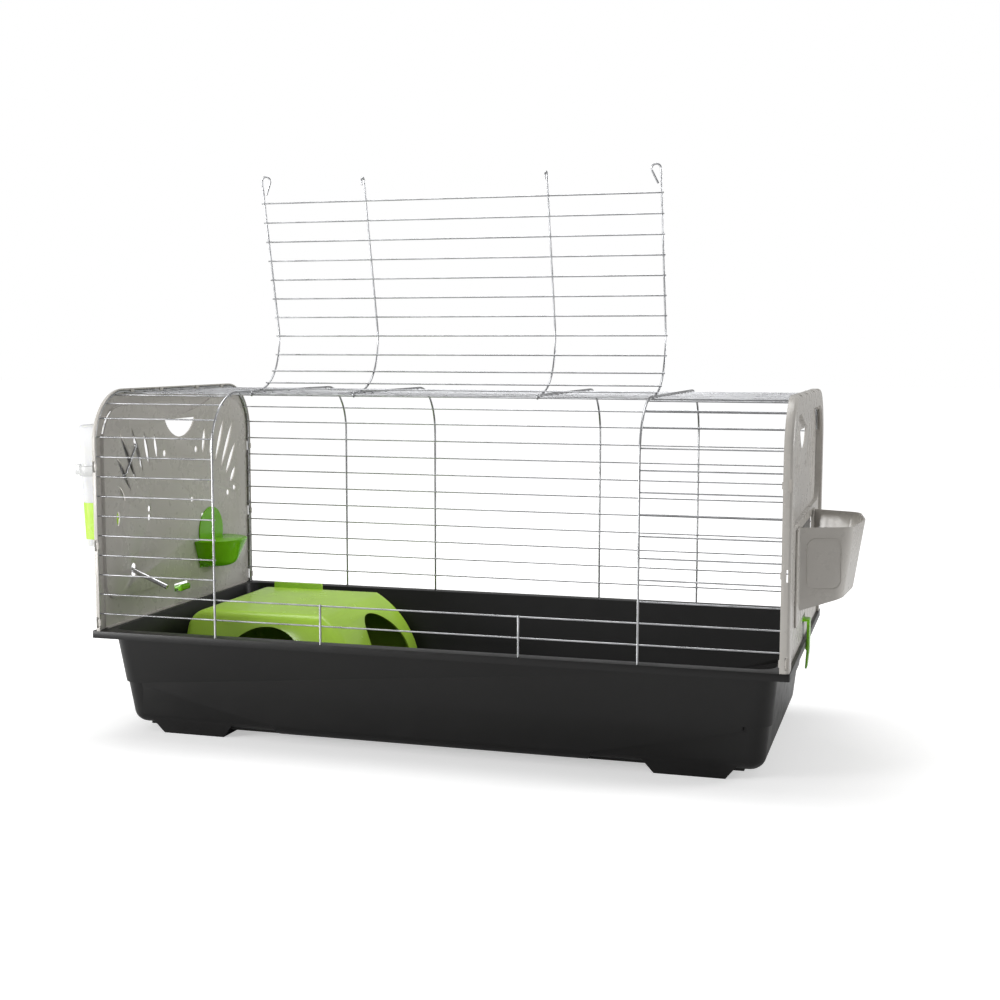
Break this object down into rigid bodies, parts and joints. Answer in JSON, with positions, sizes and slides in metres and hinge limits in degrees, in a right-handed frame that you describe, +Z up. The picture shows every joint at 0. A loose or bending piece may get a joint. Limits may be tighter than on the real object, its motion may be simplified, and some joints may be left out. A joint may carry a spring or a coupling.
{
  "type": "rabbit cage",
  "caption": "Long small-animal cage: deep plastic tub, bent wire frame with a hinged door, moulded end panels, hay rack, bowl, bottle and shelter.",
  "frame": {"origin": "centre of the resting plane under the feet of the tub", "axes": "+X along the length towards the hay rack, +Y from the door side to the back, +Z up"},
  "size_m": [1.1536, 0.5, 0.8182],
  "materials": {
    "tub_black": "satin dark plastic, polished rim",
    "panel_grey": "satin warm light grey plastic",
    "zinc_wire": "bright zinc-plated wire",
    "shelter_lime": "satin lime green plastic",
    "bowl_green": "satin green plastic",
    "bottle_frosted": "frosted translucent plastic",
    "bottle_cap_plastic": "satin white plastic",
    "seal_rubber": "matt black rubber",
    "spout_steel": "polished stainless steel",
    "holder_grey": "satin grey plastic"
  },
  "bodies": {
    "cage": {"base_tub": "tub_black", "left_end_panel": "panel_grey", "right_end_panel": "panel_grey", "end_wire_left": "zinc_wire", "end_wire_right": "zinc_wire", "cross_wire_left": "zinc_wire", "cross_wire_right": "zinc_wire", "back_cross_wire_left": "zinc_wire", "back_cross_wire_right": "zinc_wire", "door_sill_uprights": "zinc_wire", "front_bars_left": "zinc_wire", "front_bars_right": "zinc_wire", "corner_bars_left": "zinc_wire", "corner_bars_right": "zinc_wire", "sill_bar": "zinc_wire", "bottom_bar": "zinc_wire", "hinge_bar": "zinc_wire", "top_bars": "zinc_wire", "back_bars": "zinc_wire", "back_corner_bars": "zinc_wire", "hay_grille": "zinc_wire", "holder_wire": "zinc_wire"},
    "door": {"door_bars": "zinc_wire", "door_corner_bars": "zinc_wire", "door_outer_wire_left": "zinc_wire", "door_outer_wire_right": "zinc_wire", "door_inner_wire_left": "zinc_wire", "door_inner_wire_right": "zinc_wire"},
    "left_clip": {"left_clip": "bowl_green"},
    "right_clip": {"right_clip": "bowl_green"},
    "hay_rack": {"hay_rack": "panel_grey"},
    "food_bowl": {"food_bowl": "bowl_green"},
    "shelter": {"shelter": "shelter_lime"},
    "bottle": {"bottle_body": "bottle_frosted", "bottle_cap": "bottle_cap_plastic", "bottle_seal": "seal_rubber", "spout_tube": "spout_steel", "bottle_holder": "holder_grey"},
    "ball": {"spout_ball": "spout_steel"}
  },
  "joints": [
    {"name": "door_hinge", "type": "hinge", "parent": "cage", "child": "door", "pos_m": [0, -0.12965, 0.4995], "axis": [1, 0, 0], "range_deg": [0, 164.5]},
    {"name": "left_clip_swing", "type": "hinge", "parent": "cage", "child": "left_clip", "pos_m": [-0.4886, 0, 0.184], "axis": [0, 1, 0], "range_deg": [0, 24]},
    {"name": "right_clip_swing", "type": "hinge", "parent": "cage", "child": "right_clip", "pos_m": [0.4886, 0, 0.184], "axis": [0, -1, 0], "range_deg": [0, 24]},
    {"name": "hay_rack_lift", "type": "slide", "parent": "cage", "child": "hay_rack", "axis": [0, 0, 1], "range_m": [0, 0.015]},
    {"name": "food_bowl_lift", "type": "slide", "parent": "cage", "child": "food_bowl", "axis": [0, 0, 1], "range_m": [0, 0.008]},
    {"name": "shelter_lift", "type": "slide", "parent": "cage", "child": "shelter", "axis": [0, 0, 1], "range_m": [0, 0.03]},
    {"name": "bottle_draw", "type": "slide", "parent": "cage", "child": "bottle", "axis": [-0.9272, 0, 0.3746], "range_m": [0, 0.065]},
    {"name": "ball_push", "type": "slide", "parent": "bottle", "child": "ball", "axis": [-0.9272, 0, 0.3746], "range_m": [0, 0.002]}
  ]
}
